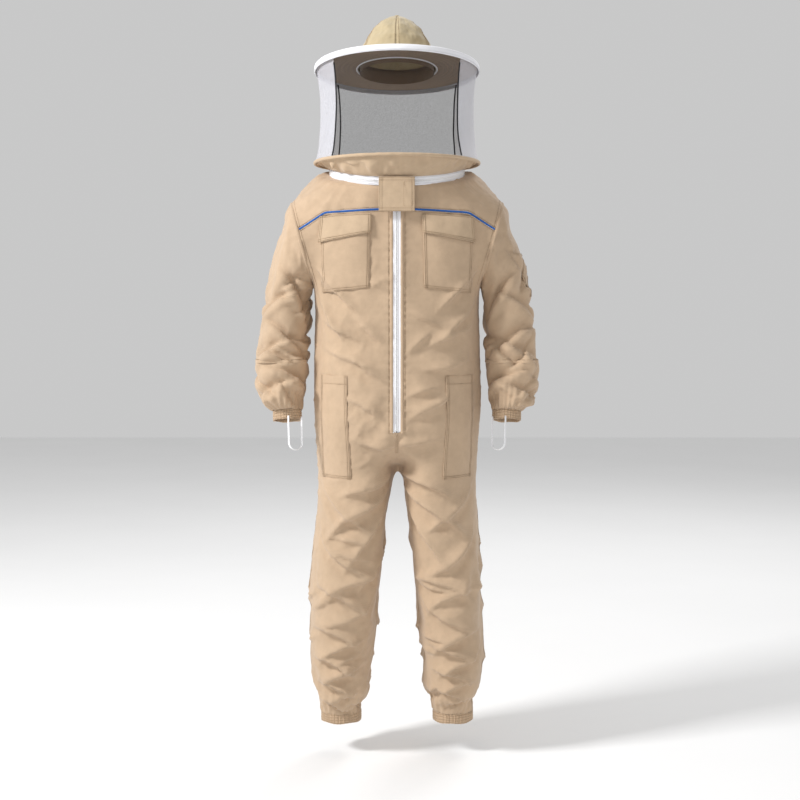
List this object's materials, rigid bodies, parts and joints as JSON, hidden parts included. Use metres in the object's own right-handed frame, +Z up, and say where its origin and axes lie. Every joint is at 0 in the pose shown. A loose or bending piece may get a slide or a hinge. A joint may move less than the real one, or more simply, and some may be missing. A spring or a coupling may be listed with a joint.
{
  "type": "beekeeping suit",
  "caption": "Full-body beekeeping coverall with a round hat-and-veil hood zipped to the collar, front zip, pockets, and elasticated wrists and ankles.",
  "frame": {"origin": "centre of the collar zip ring, where the suit hangs on the wearer's shoulders", "axes": "+Z up along the standing wearer, -Y the way the wearer faces, +X the wearer's left"},
  "size_m": [0.704, 0.4132, 1.7619],
  "materials": {
    "khaki": "cotton-rich twill, khaki tan",
    "khaki_flap": "twill with topstitched edge",
    "hat_khaki": "khaki twill, slightly greener",
    "white_trim": "white woven tape",
    "white_net": "white net cloth, half see-through",
    "black_net": "black tulle net, see-through",
    "blue_piping": "blue cord piping",
    "elastic": "gathered twill over elastic",
    "white_zip": "white nylon coil",
    "zip_metal": "nickel-plated slider",
    "spring_wire": "spring steel wire",
    "hook_tape": "hook and loop tape"
  },
  "bodies": {
    "suit": {"front_panel_left": "khaki", "front_panel_right": "khaki", "front_yoke_left": "khaki", "front_yoke_right": "khaki", "back_panel": "khaki", "back_yoke": "khaki", "yoke_piping": "blue_piping", "chest_pocket_left": "khaki", "chest_pocket_right": "khaki", "waist_elastic": "elastic", "throat_loop_tape": "hook_tape", "front_zip_tape_left": "white_trim", "front_zip_tape_right": "white_trim", "front_zip_coil_left": "white_zip", "front_zip_coil_right": "white_zip", "collar_zip_lower_tape": "white_trim", "collar_zip_lower_coil": "white_zip"},
    "front_slider": {"front_zip_slider": "zip_metal"},
    "front_pull": {"front_zip_pull": "zip_metal"},
    "throat_flap": {"throat_flap": "khaki_flap", "throat_hook_tape": "hook_tape"},
    "hood": {"hat_crown": "hat_khaki", "sweatband": "white_trim", "hat_brim": "hat_khaki", "brim_hoop_wire": "spring_wire", "brim_binding": "white_trim", "front_net": "black_net", "back_net": "black_net", "veil_side_left": "white_net", "veil_side_right": "white_net", "lower_hoop_wire": "spring_wire", "hoop_binding": "khaki", "veil_skirt": "khaki", "collar_zip_upper_tape": "white_trim", "collar_zip_upper_coil": "white_zip"},
    "collar_slider": {"collar_zip_slider": "zip_metal"},
    "collar_pull": {"collar_zip_pull": "zip_metal"},
    "pocket_flap_left": {"chest_flap_left": "khaki_flap"},
    "sleeve_left": {"sleeve_upper_left": "khaki", "sleeve_elbow_left": "khaki", "pen_pocket": "khaki"},
    "forearm_left": {"sleeve_forearm_left": "khaki", "cuff_left": "elastic", "thumb_loop_left": "white_trim"},
    "thigh_left": {"leg_thigh_left": "khaki", "leg_knee_left": "khaki", "hip_pocket_left": "khaki"},
    "shin_left": {"leg_shin_left": "khaki", "ankle_hem_left": "elastic"},
    "pocket_flap_right": {"chest_flap_right": "khaki_flap"},
    "sleeve_right": {"sleeve_upper_right": "khaki", "sleeve_elbow_right": "khaki"},
    "forearm_right": {"sleeve_forearm_right": "khaki", "cuff_right": "elastic", "thumb_loop_right": "white_trim"},
    "thigh_right": {"leg_thigh_right": "khaki", "leg_knee_right": "khaki", "hip_pocket_right": "khaki"},
    "shin_right": {"leg_shin_right": "khaki", "ankle_hem_right": "elastic"}
  },
  "joints": [
    {"name": "front_zip_slide", "type": "slide", "parent": "suit", "child": "front_slider", "axis": [0, 0, -1], "range_m": [0, 0.545]},
    {"name": "front_pull_swing", "type": "hinge", "parent": "front_slider", "child": "front_pull", "pos_m": [0, -0.1614, -0.0684], "axis": [-1, 0, 0], "range_deg": [0, 8]},
    {"name": "throat_flap_open", "type": "hinge", "parent": "suit", "child": "throat_flap", "pos_m": [-0.042, -0.17, -0.0715], "axis": [0, 0, -1], "range_deg": [0, 165]},
    {"name": "hood_lift", "type": "slide", "parent": "suit", "child": "hood", "axis": [0, -0.247, 0.969], "range_m": [0, 0.4]},
    {"name": "collar_zip_run", "type": "hinge", "parent": "hood", "child": "collar_slider", "pos_m": [0, 0.0019, 0], "axis": [0, -0.247, 0.969], "range_deg": [0, 325]},
    {"name": "collar_pull_swing", "type": "hinge", "parent": "collar_slider", "child": "collar_pull", "pos_m": [0.02633, -0.15918, -0.04106], "axis": [0, -0.247, 0.969], "range_deg": [0, 6]},
    {"name": "pocket_flap_lift_left", "type": "hinge", "parent": "suit", "child": "pocket_flap_left", "pos_m": [0.12341, -0.14988, -0.119], "axis": [-0.9775, -0.2108, 0], "range_deg": [0, 140]},
    {"name": "shoulder_left", "type": "hinge", "parent": "suit", "child": "sleeve_left", "pos_m": [0.2335, 0, -0.1825], "axis": [-0.9635, 0, 0.2679], "range_deg": [-20, 90]},
    {"name": "elbow_left", "type": "hinge", "parent": "sleeve_left", "child": "forearm_left", "pos_m": [0.279, -0.003, -0.385], "axis": [-1, 0, 0], "range_deg": [0, 75], "deforming": ["sleeve_elbow_left"]},
    {"name": "hip_left", "type": "hinge", "parent": "suit", "child": "thigh_left", "pos_m": [0.103, 0, -0.533], "axis": [-0.8539, 0, 0.5204], "range_deg": [-15, 50]},
    {"name": "knee_left", "type": "hinge", "parent": "thigh_left", "child": "shin_left", "pos_m": [0.119, -0.004, -0.985], "axis": [1, 0, 0], "range_deg": [0, 65], "deforming": ["leg_knee_left"]},
    {"name": "pocket_flap_lift_right", "type": "hinge", "parent": "suit", "child": "pocket_flap_right", "pos_m": [-0.12341, -0.14988, -0.119], "axis": [-0.9775, 0.2108, 0], "range_deg": [0, 95]},
    {"name": "shoulder_right", "type": "hinge", "parent": "suit", "child": "sleeve_right", "pos_m": [-0.2335, 0, -0.1825], "axis": [-0.9635, 0, -0.2679], "range_deg": [-20, 90]},
    {"name": "elbow_right", "type": "hinge", "parent": "sleeve_right", "child": "forearm_right", "pos_m": [-0.279, -0.003, -0.385], "axis": [-1, 0, 0], "range_deg": [0, 75], "deforming": ["sleeve_elbow_right"]},
    {"name": "hip_right", "type": "hinge", "parent": "suit", "child": "thigh_right", "pos_m": [-0.103, 0, -0.533], "axis": [-0.8539, 0, -0.5204], "range_deg": [-15, 50]},
    {"name": "knee_right", "type": "hinge", "parent": "thigh_right", "child": "shin_right", "pos_m": [-0.119, -0.004, -0.985], "axis": [1, 0, 0], "range_deg": [0, 65], "deforming": ["leg_knee_right"]}
  ]
}
